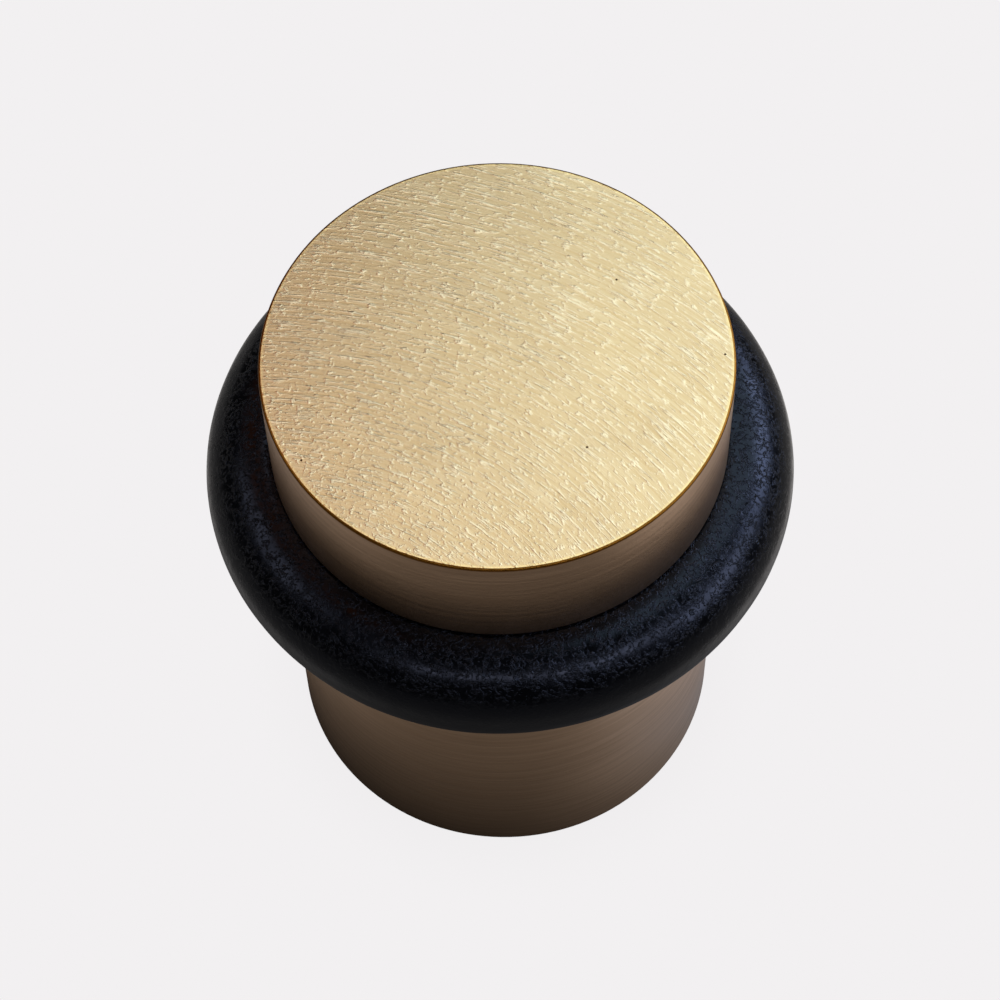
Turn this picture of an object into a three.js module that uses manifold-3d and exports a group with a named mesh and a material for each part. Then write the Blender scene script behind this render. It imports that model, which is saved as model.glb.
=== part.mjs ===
// A floor door stop: a round brass post in two turned halves, joined by a threaded stud, with a
// rubber buffer ring in the groove between them. The lower half is held down by a countersunk
// screw in a plug in the floor. The upper half unscrews to give access to that screw.
// Millimetres, +Z up. The origin is on the post's axis at floor level.
import * as THREE from "three";
import { mergeVertices } from "three/addons/utils/BufferGeometryUtils.js";
import Module from "manifold-3d";

// --- Driving dimensions ------------------------------------------------------------------------

// Post
const postRadius = 15;
const capRise = 12.9; // from the middle of the ring to the top of the post
const edgeBreak = 0.15; // chamfer on the post's top and bottom edges

// Buffer ring and its groove
const ringHeight = 29.1; // from the floor to the middle of the ring
const ringSection = 8.1; // diameter of the rubber
const ringOutset = 0.45; // how far the section's centre lies outside the post's surface
const ringClearance = 0.1;
const seamDrop = 3.6; // from the middle of the ring down to the seam between cap and base

// Joining stud, a socket set screw, and the tapped holes that it fits
const threadPitch = 1.75;
const threadDepth = 0.95;
const threadClearance = 0.15; // radial, between the stud and its tapped holes
const studReach = 11; // how far the stud goes into the base
const studEndGap = 0.5; // between the stud's end and the end of the cap's hole
const studChamfer = 0.8;
const studSocketAcross = 6; // hexagon, across flats
const studSocketDepth = 5;
const crown = 2.4; // solid brass above the point of the cap's drilled hole
const tapOverrun = 1.3; // tapped length below the stud's end
const mouthBreak = 0.35; // countersink round the mouth of each tapped hole

// Base
const seatHeight = 5; // brass under the countersink
const undersideRecess = 0.4; // the base stands on its rim only
const standingRim = 4;

// Floor screw
const screwRadius = 2.5;
const screwLength = 50;
const screwHeadRadius = 4.6;
const screwHeadRim = 0.35;
const screwCoreRadius = 1.75;
const screwThreadPitch = 2.5;
const screwThreadLength = 34;
const screwPointLength = 6;
const screwHoleClearance = 0.3; // radial, in the base
const seatClearance = 0.3; // along the axis, between the head and its countersink
const headPassClearance = 0.6; // radial: the head goes in through the base's tapped hole
const recessReach = 2.3; // half the span of the head's cross recess
const recessWidth = 1.1;
const recessDepth = 2.2;

// Wall plug
const plugRadius = 4;
const plugLength = 40;
const plugTopDepth = 0.3; // its top lies this far below the floor
const plugBoreClearance = 0.3; // radial, round the screw
const plugCollar = 6; // plain length at the top
const plugNose = 5; // tapered length at the bottom
const plugNoseRadius = 3.4;
const plugBarbs = 9;
const plugBarbDepth = 0.4;
const plugSlit = 0.8;
const plugSlitStart = 12; // from the plug's top
const plugFinReach = 0.9; // how far the two fins that stop it turning stand out
const plugFinThickness = 0.9;
const plugFinLength = 12;

// Facets round the axis
const postFacets = 64;
const smallFacets = 24;

// --- Sizes that follow -------------------------------------------------------------------------

const postTop = ringHeight + capRise;
const ringCentreRadius = postRadius + ringOutset;
const grooveRadius = ringSection / 2 + ringClearance;
const grooveLip = Math.acos(-ringOutset / grooveRadius); // where the groove meets the post's surface
const seamHeight = ringHeight - seamDrop;
const seamAngle = Math.PI + Math.asin(seamDrop / grooveRadius);

const tapRadius = screwHeadRadius + headPassClearance; // minor radius of the tapped holes
const tapCrestRadius = tapRadius + threadDepth;
const studRootRadius = tapRadius - threadClearance;
const studCrestRadius = studRootRadius + threadDepth;
const drillPoint = tapRadius / Math.tan(THREE.MathUtils.degToRad(59));
const capHoleTop = postTop - crown - drillPoint;
const studTop = capHoleTop - studEndGap;
const studBottom = seamHeight - studReach;
const studSocketRadius = studSocketAcross / 2 / Math.cos(Math.PI / 6);

const screwHoleRadius = screwRadius + screwHoleClearance;
const seatTop = seatHeight + tapRadius - screwHoleRadius;
const headConeBottom = seatHeight + seatClearance - screwHoleClearance;
const headConeTop = headConeBottom + screwHeadRadius - screwRadius;
const screwTop = headConeTop + screwHeadRim;
const screwTip = screwTop - screwLength;

const plugTop = -plugTopDepth;
const plugBottom = plugTop - plugLength;
const plugBoreRadius = screwRadius + plugBoreClearance;

const beyond = 1; // how far a cutter runs past the face that it cuts

// --- Materials ---------------------------------------------------------------------------------

const satinBrass = new THREE.MeshStandardMaterial({ color: 0xcdb07a, roughness: 0.38, metalness: 1 });
const blackRubber = new THREE.MeshStandardMaterial({ color: 0x17181d, roughness: 0.62 });
const blackSteel = new THREE.MeshStandardMaterial({ color: 0x3a3b3d, roughness: 0.5, metalness: 1 });
const zincSteel = new THREE.MeshStandardMaterial({ color: 0xc3c6c9, roughness: 0.35, metalness: 1 });
const greyNylon = new THREE.MeshStandardMaterial({ color: 0x9b9ea0, roughness: 0.55 });

// --- Solids ------------------------------------------------------------------------------------

const wasm = await Module();
wasm.setup();

// A geometry as a solid that can be joined and cut.
function solid(geometry) {
  const bare = geometry.index ? geometry.toNonIndexed() : geometry.clone();
  bare.deleteAttribute("normal");
  bare.deleteAttribute("uv");
  const merged = mergeVertices(bare, 1e-4);
  const skin = new wasm.Mesh({
    numProp: 3,
    vertProperties: merged.attributes.position.array,
    triVerts: new Uint32Array(merged.index.array),
  });
  return new wasm.Manifold(skin);
}

// A solid as a named mesh.
function piece(name, made, material) {
  const { vertProperties, triVerts } = made.getMesh();
  const geometry = new THREE.BufferGeometry();
  geometry.setAttribute("position", new THREE.BufferAttribute(new Float32Array(vertProperties), 3));
  geometry.setIndex(new THREE.BufferAttribute(new Uint32Array(triVerts), 1));
  const flat = geometry.toNonIndexed();
  flat.computeVertexNormals();
  const mesh = new THREE.Mesh(flat, material);
  mesh.name = name;
  return mesh;
}

// An outline of [radius, height] corners turned round the Z axis. Its outside runs upwards.
function turned(outline, facets) {
  const points = outline.map(([radius, height]) => new THREE.Vector2(radius, height));
  return solid(new THREE.LatheGeometry(points, facets).rotateX(Math.PI / 2));
}

function block(width, depth, height, x, y, z) {
  return solid(new THREE.BoxGeometry(width, depth, height).translate(x, y, z));
}

// Corners on a circle round the middle of the ring's section, from one angle to another.
function sectionArc(radius, from, to) {
  const steps = Math.ceil(Math.abs(to - from) / (Math.PI / 14));
  return Array.from({ length: steps + 1 }, (_, step) => {
    const angle = from + ((to - from) * step) / steps;
    return [ringCentreRadius + radius * Math.cos(angle), ringHeight + radius * Math.sin(angle)];
  });
}

// A screw thread with a solid core, as one closed skin of right-hand helical strips. The profile
// is a list of [radius, share of the pitch] corners and repeats once a turn.
function thread(profile, pitch, bottom, top) {
  const first = Math.floor(bottom / pitch) - 1;
  const turns = Math.ceil(top / pitch) + 1 - first;
  const corners = profile.length;
  const rows = turns * corners;
  const at = (row, side) => {
    const [radius, share] = profile[row % corners];
    const angle = (side / smallFacets) * 2 * Math.PI;
    const height = (first + Math.floor(row / corners) + share + side / smallFacets) * pitch;
    return [radius * Math.cos(angle), radius * Math.sin(angle), height];
  };
  const faces = [];
  for (let row = 0; row < rows; row += 1) {
    for (let side = 0; side < smallFacets; side += 1) {
      const [a, b] = [at(row, side), at(row, side + 1)];
      const [c, d] = [at(row + 1, side + 1), at(row + 1, side)];
      faces.push(a, b, c, a, c, d);
    }
  }
  // Each end is a fan from the axis to the outermost turn and to the step where that turn ends.
  const low = [0, 0, (first - 1) * pitch];
  const high = [0, 0, (first + turns + 2) * pitch];
  for (let side = 0; side < smallFacets; side += 1) {
    faces.push(low, at(0, side + 1), at(0, side));
    faces.push(high, at(rows, side), at(rows, side + 1));
  }
  for (let row = 0; row < corners; row += 1) {
    faces.push(low, at(row, 0), at(row + 1, 0));
    const last = rows - corners + row;
    faces.push(high, at(last + 1, smallFacets), at(last, smallFacets));
  }
  const geometry = new THREE.BufferGeometry();
  geometry.setAttribute("position", new THREE.BufferAttribute(new Float32Array(faces.flat()), 3));
  return solid(geometry);
}

// A symmetrical thread's corners: a flat root, a flank, a flat crest and a flank.
function threadProfile(rootRadius, crestRadius, rootShare, crestShare) {
  const flank = (1 - rootShare - crestShare) / 2;
  return [
    [rootRadius, 0],
    [rootRadius, rootShare],
    [crestRadius, rootShare + flank],
    [crestRadius, rootShare + flank + crestShare],
  ];
}

// The joining thread between two heights, with its root at the given radius.
function joiningThread(rootRadius, bottom, top) {
  const profile = threadProfile(rootRadius, rootRadius + threadDepth, 0.25, 0.125);
  const core = rootRadius + threadDepth + beyond;
  const length = turned([[0, bottom], [core, bottom], [core, top], [0, top]], smallFacets);
  return thread(profile, threadPitch, bottom, top).intersect(length);
}

// The countersink round a tapped hole's mouth. It opens downwards (side -1) or upwards (side 1).
function mouth(height, side) {
  const wide = tapCrestRadius + mouthBreak;
  const depth = wide - tapRadius;
  const cone = [
    [0, height - side * depth],
    [tapRadius, height - side * depth],
    [wide, height],
    [wide, height + side * beyond],
    [0, height + side * beyond],
  ];
  return turned(side > 0 ? cone : cone.reverse(), smallFacets);
}

// --- Pieces ------------------------------------------------------------------------------------

function cap() {
  const outside = turned(
    [
      [0, seamHeight],
      ...sectionArc(grooveRadius, seamAngle, grooveLip),
      [postRadius, postTop - edgeBreak],
      [postRadius - edgeBreak, postTop],
      [0, postTop],
    ],
    postFacets,
  );
  const drilled = turned(
    [
      [0, seamHeight - beyond],
      [tapRadius, seamHeight - beyond],
      [tapRadius, capHoleTop],
      [0, capHoleTop + drillPoint],
    ],
    smallFacets,
  );
  const tapped = joiningThread(tapRadius, seamHeight - beyond, capHoleTop);
  return outside.subtract(drilled).subtract(tapped).subtract(mouth(seamHeight, -1));
}

function base() {
  const outside = turned(
    [
      [0, 0],
      [postRadius - edgeBreak, 0],
      [postRadius, edgeBreak],
      ...sectionArc(grooveRadius, 2 * Math.PI - grooveLip, seamAngle),
      [0, seamHeight],
    ],
    postFacets,
  );
  const bore = turned(
    [
      [0, -beyond],
      [screwHoleRadius, -beyond],
      [screwHoleRadius, seatHeight],
      [tapRadius, seatTop],
      [tapRadius, seamHeight + beyond],
      [0, seamHeight + beyond],
    ],
    smallFacets,
  );
  const inside = postRadius - standingRim;
  const recess = turned(
    [[0, -beyond], [inside, -beyond], [inside, undersideRecess], [0, undersideRecess]],
    postFacets,
  );
  const tapped = joiningThread(tapRadius, studBottom - tapOverrun, seamHeight + beyond);
  return outside.subtract(bore).subtract(recess).subtract(tapped).subtract(mouth(seamHeight, 1));
}

function joiningStud() {
  const tipRadius = studCrestRadius - studChamfer;
  const ends = turned(
    [
      [0, studBottom],
      [tipRadius, studBottom],
      [studCrestRadius, studBottom + studChamfer],
      [studCrestRadius, studTop - studChamfer],
      [tipRadius, studTop],
      [0, studTop],
    ],
    smallFacets,
  );
  const socket = new THREE.CylinderGeometry(studSocketRadius, studSocketRadius, studSocketDepth + beyond, 6);
  socket.rotateX(Math.PI / 2).translate(0, 0, studBottom + (studSocketDepth - beyond) / 2);
  return joiningThread(studRootRadius, studBottom, studTop).intersect(ends).subtract(solid(socket));
}

function bufferRing() {
  const section = sectionArc(ringSection / 2, -Math.PI, Math.PI);
  section[section.length - 1] = section[0];
  return turned(section, postFacets);
}

function floorScrew() {
  const threadTop = screwTip + screwThreadLength;
  const shank = turned(
    [
      [0, threadTop - screwRadius],
      [screwCoreRadius, threadTop - screwRadius],
      [screwRadius, threadTop],
      [screwRadius, headConeBottom],
      [screwHeadRadius, headConeTop],
      [screwHeadRadius, screwTop],
      [0, screwTop],
    ],
    smallFacets,
  );
  const envelope = turned(
    [
      [0, screwTip],
      [screwRadius, screwTip + screwPointLength],
      [screwRadius, threadTop],
      [0, threadTop],
    ],
    smallFacets,
  );
  const profile = threadProfile(screwCoreRadius, screwRadius, 0.55, 0.08);
  const threaded = thread(profile, screwThreadPitch, screwTip, threadTop).intersect(envelope);
  const depth = recessDepth + beyond;
  const middle = screwTop - recessDepth + depth / 2;
  const recess = block(2 * recessReach, recessWidth, depth, 0, 0, middle).add(
    block(recessWidth, 2 * recessReach, depth, 0, 0, middle),
  );
  return shank.add(threaded).subtract(recess);
}

function wallPlug() {
  const barbed = plugLength - plugCollar - plugNose;
  const step = barbed / plugBarbs;
  const barbs = Array.from({ length: plugBarbs }, (_, index) => {
    const foot = plugBottom + plugNose + index * step;
    return [
      [plugRadius - plugBarbDepth, foot],
      [plugRadius, foot + step * 0.85],
    ];
  });
  const body = turned(
    [
      [0, plugBottom],
      [plugNoseRadius, plugBottom],
      ...barbs.flat(),
      [plugRadius, plugTop],
      [0, plugTop],
    ],
    smallFacets,
  );
  const bore = turned(
    [
      [0, plugBottom - beyond],
      [plugBoreRadius, plugBottom - beyond],
      [plugBoreRadius, plugTop + beyond],
      [0, plugTop + beyond],
    ],
    smallFacets,
  );
  const finWidth = 2 * (plugRadius + plugFinReach);
  const fins = block(plugFinThickness, finWidth, plugFinLength, 0, 0, plugTop - plugFinLength / 2);
  const slitLength = plugLength - plugSlitStart + beyond;
  const slit = block(3 * plugRadius, plugSlit, slitLength, 0, 0, plugBottom - beyond + slitLength / 2);
  return body.add(fins).subtract(bore).subtract(slit);
}

const doorStop = new THREE.Group();
doorStop.add(
  piece("cap", cap(), satinBrass),
  piece("base", base(), satinBrass),
  piece("buffer_ring", bufferRing(), blackRubber),
  piece("joining_stud", joiningStud(), blackSteel),
  piece("floor_screw", floorScrew(), zincSteel),
  piece("wall_plug", wallPlug(), greyNylon),
);

export default doorStop;
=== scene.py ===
import bpy
import bmesh
import math
from mathutils import Matrix, Vector


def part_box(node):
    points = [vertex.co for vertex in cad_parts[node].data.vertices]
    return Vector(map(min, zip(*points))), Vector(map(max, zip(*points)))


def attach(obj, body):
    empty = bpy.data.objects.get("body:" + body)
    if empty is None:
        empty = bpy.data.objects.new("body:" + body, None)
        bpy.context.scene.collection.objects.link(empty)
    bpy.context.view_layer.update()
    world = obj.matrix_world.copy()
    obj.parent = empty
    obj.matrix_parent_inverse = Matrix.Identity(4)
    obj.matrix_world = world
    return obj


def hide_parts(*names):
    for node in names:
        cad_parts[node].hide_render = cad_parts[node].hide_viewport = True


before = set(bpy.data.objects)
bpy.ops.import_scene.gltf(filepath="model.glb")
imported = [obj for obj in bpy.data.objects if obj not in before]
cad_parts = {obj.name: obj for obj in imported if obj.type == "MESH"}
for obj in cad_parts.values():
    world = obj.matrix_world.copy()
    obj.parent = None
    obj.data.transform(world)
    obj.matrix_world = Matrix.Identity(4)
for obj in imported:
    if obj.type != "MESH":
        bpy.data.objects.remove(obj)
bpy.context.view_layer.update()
mm = 0.001
fullTurn = 2 * math.pi
print("frame loaded:", ", ".join(sorted(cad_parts)))


def linear(hexColour):
    # an sRGB hex colour as linear RGBA
    parts = [int(hexColour[i:i + 2], 16) / 255 for i in (1, 3, 5)]
    return [c / 12.92 if c <= 0.04045 else ((c + 0.055) / 1.055) ** 2.4 for c in parts] + [1.0]


def addNode(tree, kind, inputs=None, **settings):
    # a value for an input is a node (its first output), an output socket, or a plain value
    node = tree.nodes.new(kind)
    for name, value in settings.items():
        setattr(node, name, value)
    for socket, value in (inputs or {}).items():
        if isinstance(value, bpy.types.Node):
            tree.links.new(value.outputs[0], node.inputs[socket])
        elif isinstance(value, bpy.types.NodeSocket):
            tree.links.new(value, node.inputs[socket])
        else:
            node.inputs[socket].default_value = value
    return node


def newMaterial(name):
    # an empty node material, with the object's own coordinates in mm
    material = bpy.data.materials.new(name)
    material.use_nodes = True
    tree = material.node_tree
    tree.nodes.clear()
    place = addNode(tree, "ShaderNodeTexCoord").outputs["Object"]
    inMm = addNode(tree, "ShaderNodeVectorMath", {0: place, "Scale": 1 / mm}, operation="SCALE")
    return material, tree, inMm


def addSurface(tree, inputs):
    shader = addNode(tree, "ShaderNodeBsdfPrincipled", inputs)
    addNode(tree, "ShaderNodeOutputMaterial", {"Surface": shader})


def arc(centre, radius, fromAngle, toAngle, steps):
    # (radius, height) corners along an arc, angles in degrees from the outward direction
    turns = [math.radians(fromAngle + (toAngle - fromAngle) * i / steps) for i in range(steps + 1)]
    return [(centre[0] + radius * math.cos(t), centre[1] + radius * math.sin(t)) for t in turns]


def straight(radius, fromHeight, toHeight, step):
    # close rows up a plain wall, so that a thread or barbs can be cut in it
    count = max(1, round(abs(toHeight - fromHeight) / step))
    return [(radius, fromHeight + (toHeight - fromHeight) * i / count) for i in range(count + 1)]


def turnMesh(name, outline, steps, closed=False, sharpOver=32, paint=None):
    # turns an outline in mm round Z: its outside runs up. A radius may be a rule of the angle.
    # paint gives the material index of the faces between one corner and the next.
    mesh = bpy.data.meshes.new(name)
    made = bmesh.new()
    rows = []
    for radius, height in outline:
        if radius == 0:
            rows.append([made.verts.new((0, 0, height * mm))] * steps)
            continue
        row = []
        for i in range(steps):
            angle = fullTurn * i / steps
            r = (radius(angle) if callable(radius) else radius) * mm
            row.append(made.verts.new((r * math.cos(angle), r * math.sin(angle), height * mm)))
        rows.append(row)
    pairs = list(zip(rows, rows[1:])) + ([(rows[-1], rows[0])] if closed else [])
    for index, (low, high) in enumerate(pairs):
        for i in range(steps):
            j = (i + 1) % steps
            corners = []
            for corner in (low[i], low[j], high[j], high[i]):
                if corner not in corners:
                    corners.append(corner)
            face = made.faces.new(corners)
            face.material_index = paint(index) if paint else 0
            face.smooth = True
    made.normal_update()
    for edge in made.edges:
        edge.smooth = edge.calc_face_angle(0) < math.radians(sharpOver)
    made.to_mesh(mesh)
    made.free()
    obj = bpy.data.objects.new(name, mesh)
    bpy.context.scene.collection.objects.link(obj)
    return obj


def plainMesh(obj, name, sharpOver=32):
    # the piece with its modifiers applied, as a new plain mesh object
    bpy.context.view_layer.update()
    graph = bpy.context.evaluated_depsgraph_get()
    mesh = bpy.data.meshes.new_from_object(obj.evaluated_get(graph), depsgraph=graph)
    mesh.name = name
    bpy.data.objects.remove(obj)
    made = bmesh.new()
    made.from_mesh(mesh)
    bmesh.ops.remove_doubles(made, verts=made.verts, dist=1e-7)
    bmesh.ops.dissolve_degenerate(made, dist=1e-7, edges=made.edges)
    made.normal_update()
    for face in made.faces:
        face.smooth = True
    for edge in made.edges:
        edge.smooth = edge.calc_face_angle(0) < math.radians(sharpOver)
    made.to_mesh(mesh)
    made.free()
    piece = bpy.data.objects.new(name, mesh)
    bpy.context.scene.collection.objects.link(piece)
    return piece


def addTree(obj, tree, values):
    # a Geometry Nodes modifier with its named inputs set by identifier
    modifier = obj.modifiers.new(tree.name, "NODES")
    modifier.node_group = tree
    for item in tree.interface.items_tree:
        if item.item_type == "SOCKET" and item.in_out == "INPUT" and item.name in values:
            modifier[item.identifier] = values[item.name]


def newTree(name, inputs):
    tree = bpy.data.node_groups.new(name, "GeometryNodeTree")
    for label, kind, value in inputs:
        socket = tree.interface.new_socket(label, in_out="INPUT", socket_type=kind)
        if value is not None:
            socket.default_value = value
    tree.interface.new_socket("Geometry", in_out="OUTPUT", socket_type="NodeSocketGeometry")
    return tree, tree.nodes.new("NodeGroupInput")


def settle(piece, body, slot, *nodes):
    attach(piece, body)
    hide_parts(*nodes)
    print("made", piece.name, len(piece.data.polygons), "faces")


def threadTree():
    # cuts a right-hand thread into a plain wall: radius = root + depth x the thread's shape
    tree, given = newTree("cutThread", [
        ("Geometry", "NodeSocketGeometry", None), ("Root Radius", "NodeSocketFloat", 0.005),
        ("Depth", "NodeSocketFloat", 0.001), ("Pitch", "NodeSocketFloat", 0.00175),
        ("Root Share", "NodeSocketFloat", 0.25), ("Crest Share", "NodeSocketFloat", 0.125),
        ("From Height", "NodeSocketFloat", 0.0), ("To Height", "NodeSocketFloat", 0.01),
        ("Internal", "NodeSocketBool", False), ("Reach", "NodeSocketFloat", 1.0),
        ("Material", "NodeSocketMaterial", None)])
    size = given.outputs
    place = addNode(tree, "GeometryNodeInputPosition")
    split = addNode(tree, "ShaderNodeSeparateXYZ", {0: place})
    across = addNode(tree, "ShaderNodeCombineXYZ", {0: split.outputs[0], 1: split.outputs[1]})
    own = addNode(tree, "ShaderNodeVectorMath", {0: across}, operation="LENGTH").outputs["Value"]
    angle = addNode(tree, "ShaderNodeMath", {0: split.outputs[1], 1: split.outputs[0]}, operation="ARCTAN2")
    turn = addNode(tree, "ShaderNodeMath", {0: angle, 1: fullTurn}, operation="DIVIDE")
    rise = addNode(tree, "ShaderNodeMath", {0: split.outputs[2], 1: size["Pitch"]}, operation="DIVIDE")
    ahead = addNode(tree, "ShaderNodeMath", {0: rise, 1: turn}, operation="SUBTRACT")
    share = addNode(tree, "ShaderNodeMath", {0: ahead}, operation="FRACT")
    # the crest's middle lies at (1 + root share) / 2, and each flank takes half of what is left
    afterRoot = addNode(tree, "ShaderNodeMath", {0: size["Root Share"], 1: 1.0}, operation="ADD")
    middle = addNode(tree, "ShaderNodeMath", {0: afterRoot, 1: 0.5}, operation="MULTIPLY")
    away = addNode(tree, "ShaderNodeMath", {0: share, 1: middle}, operation="SUBTRACT")
    offCrest = addNode(tree, "ShaderNodeMath", {0: away}, operation="ABSOLUTE")
    notRoot = addNode(tree, "ShaderNodeMath", {0: 1.0, 1: size["Root Share"]}, operation="SUBTRACT")
    foot = addNode(tree, "ShaderNodeMath", {0: notRoot, 1: 0.5}, operation="MULTIPLY")
    crestHalf = addNode(tree, "ShaderNodeMath", {0: size["Crest Share"], 1: 0.5}, operation="MULTIPLY")
    shape = addNode(tree, "ShaderNodeMapRange",
                    {"Value": offCrest, "From Min": foot, "From Max": crestHalf})
    height = addNode(tree, "ShaderNodeMath", {0: shape, 1: size["Depth"], 2: size["Root Radius"]},
                     operation="MULTIPLY_ADD")
    outer = addNode(tree, "ShaderNodeMath", {0: own, 1: height}, operation="MINIMUM")
    inner = addNode(tree, "ShaderNodeMath", {0: own, 1: height}, operation="MAXIMUM")
    wall = addNode(tree, "GeometryNodeSwitch", {"Switch": size["Internal"], "False": outer, "True": inner},
                   input_type="FLOAT")
    grow = addNode(tree, "ShaderNodeMath", {0: wall, 1: own}, operation="DIVIDE")
    scale = addNode(tree, "ShaderNodeCombineXYZ", {0: grow, 1: grow, 2: 1.0})
    moved = addNode(tree, "ShaderNodeVectorMath", {0: place, 1: scale}, operation="MULTIPLY")
    above = addNode(tree, "FunctionNodeCompare", {0: split.outputs[2], 1: size["From Height"]},
                    operation="GREATER_EQUAL")
    below = addNode(tree, "FunctionNodeCompare", {0: split.outputs[2], 1: size["To Height"]},
                    operation="LESS_EQUAL")
    near = addNode(tree, "FunctionNodeCompare", {0: own, 1: size["Reach"]}, operation="LESS_THAN")
    inRange = addNode(tree, "FunctionNodeBooleanMath", {0: above, 1: below}, operation="AND")
    onWall = addNode(tree, "FunctionNodeBooleanMath", {0: inRange, 1: near}, operation="AND")
    offAxis = addNode(tree, "FunctionNodeCompare", {0: own, 1: 1e-6}, operation="GREATER_THAN")
    chosen = addNode(tree, "FunctionNodeBooleanMath", {0: onWall, 1: offAxis}, operation="AND")
    cut = addNode(tree, "GeometryNodeSetPosition",
                  {"Geometry": size["Geometry"], "Selection": chosen, "Position": moved})
    real = addNode(tree, "GeometryNodeRealizeInstances", {"Geometry": cut})
    finish = addNode(tree, "GeometryNodeSetMaterial",
                     {"Geometry": real, "Selection": chosen, "Material": size["Material"]})
    addNode(tree, "NodeGroupOutput", {0: finish})
    return tree


def ringTree():
    # a round-section ring swept along a circle, with the slight unevenness of a moulding
    tree, given = newTree("mouldRing", [
        ("Centre Radius", "NodeSocketFloat", 0.015), ("Section Radius", "NodeSocketFloat", 0.0046),
        ("Height", "NodeSocketFloat", 0.03), ("Steps Along", "NodeSocketInt", 256),
        ("Steps Round", "NodeSocketInt", 64), ("Unevenness", "NodeSocketFloat", 0.00003),
        ("Wave Length", "NodeSocketFloat", 0.006), ("Seed", "NodeSocketFloat", 3.0),
        ("Material", "NodeSocketMaterial", None)])
    size = given.outputs
    path = addNode(tree, "GeometryNodeCurvePrimitiveCircle",
                   {"Resolution": size["Steps Along"], "Radius": size["Centre Radius"]}, mode="RADIUS")
    section = addNode(tree, "GeometryNodeCurvePrimitiveCircle",
                      {"Resolution": size["Steps Round"], "Radius": size["Section Radius"]}, mode="RADIUS")
    tube = addNode(tree, "GeometryNodeCurveToMesh", {"Curve": path, "Profile Curve": section})
    lift = addNode(tree, "ShaderNodeCombineXYZ", {2: size["Height"]})
    raised = addNode(tree, "GeometryNodeSetPosition", {"Geometry": tube, "Offset": lift})
    place = addNode(tree, "GeometryNodeInputPosition")
    perWave = addNode(tree, "ShaderNodeMath", {0: 1.0, 1: size["Wave Length"]}, operation="DIVIDE")
    noise = addNode(tree, "ShaderNodeTexNoise",
                    {"Vector": place, "W": size["Seed"], "Scale": perWave, "Detail": 1.0},
                    noise_dimensions="4D")
    centred = addNode(tree, "ShaderNodeMath", {0: noise, 1: 0.5}, operation="SUBTRACT")
    much = addNode(tree, "ShaderNodeMath", {0: centred, 1: size["Unevenness"]}, operation="MULTIPLY")
    out = addNode(tree, "GeometryNodeInputNormal")
    push = addNode(tree, "ShaderNodeVectorMath", {0: out, "Scale": much}, operation="SCALE")
    uneven = addNode(tree, "GeometryNodeSetPosition", {"Geometry": raised, "Offset": push})
    real = addNode(tree, "GeometryNodeRealizeInstances", {"Geometry": uneven})
    finish = addNode(tree, "GeometryNodeSetMaterial", {"Geometry": real, "Material": size["Material"]})
    addNode(tree, "NodeGroupOutput", {0: finish})
    return tree


def barbTree():
    # cuts saw-tooth barbs into the outside of a plain sleeve
    tree, given = newTree("cutBarbs", [
        ("Geometry", "NodeSocketGeometry", None), ("Outer Radius", "NodeSocketFloat", 0.004),
        ("Barb Depth", "NodeSocketFloat", 0.0004), ("From Height", "NodeSocketFloat", -0.03),
        ("To Height", "NodeSocketFloat", -0.005), ("Count", "NodeSocketInt", 9),
        ("Slope Share", "NodeSocketFloat", 0.85), ("Material", "NodeSocketMaterial", None)])
    size = given.outputs
    place = addNode(tree, "GeometryNodeInputPosition")
    split = addNode(tree, "ShaderNodeSeparateXYZ", {0: place})
    across = addNode(tree, "ShaderNodeCombineXYZ", {0: split.outputs[0], 1: split.outputs[1]})
    own = addNode(tree, "ShaderNodeVectorMath", {0: across}, operation="LENGTH").outputs["Value"]
    barbs = addNode(tree, "ShaderNodeMapRange",
                    {"Value": split.outputs[2], "From Min": size["From Height"],
                     "From Max": size["To Height"], "To Max": size["Count"]}, clamp=False)
    along = addNode(tree, "ShaderNodeMath", {0: barbs}, operation="FRACT")
    taper = addNode(tree, "ShaderNodeMapRange",
                    {"Value": along, "From Max": size["Slope Share"], "To Min": 1.0, "To Max": 0.0})
    low = addNode(tree, "ShaderNodeMath", {0: taper, 1: size["Barb Depth"]}, operation="MULTIPLY")
    rule = addNode(tree, "ShaderNodeMath", {0: size["Outer Radius"], 1: low}, operation="SUBTRACT")
    wall = addNode(tree, "ShaderNodeMath", {0: own, 1: rule}, operation="MINIMUM")
    grow = addNode(tree, "ShaderNodeMath", {0: wall, 1: own}, operation="DIVIDE")
    scale = addNode(tree, "ShaderNodeCombineXYZ", {0: grow, 1: grow, 2: 1.0})
    moved = addNode(tree, "ShaderNodeVectorMath", {0: place, 1: scale}, operation="MULTIPLY")
    above = addNode(tree, "FunctionNodeCompare", {0: split.outputs[2], 1: size["From Height"]},
                    operation="GREATER_EQUAL")
    below = addNode(tree, "FunctionNodeCompare", {0: split.outputs[2], 1: size["To Height"]},
                    operation="LESS_THAN")
    chosen = addNode(tree, "FunctionNodeBooleanMath", {0: above, 1: below}, operation="AND")
    cut = addNode(tree, "GeometryNodeSetPosition",
                  {"Geometry": size["Geometry"], "Selection": chosen, "Position": moved})
    real = addNode(tree, "GeometryNodeRealizeInstances", {"Geometry": cut})
    finish = addNode(tree, "GeometryNodeSetMaterial", {"Geometry": real, "Material": size["Material"]})
    addNode(tree, "NodeGroupOutput", {0: finish})
    return tree


cutThread, mouldRing, cutBarbs = threadTree(), ringTree(), barbTree()
print("trees built")


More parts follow.
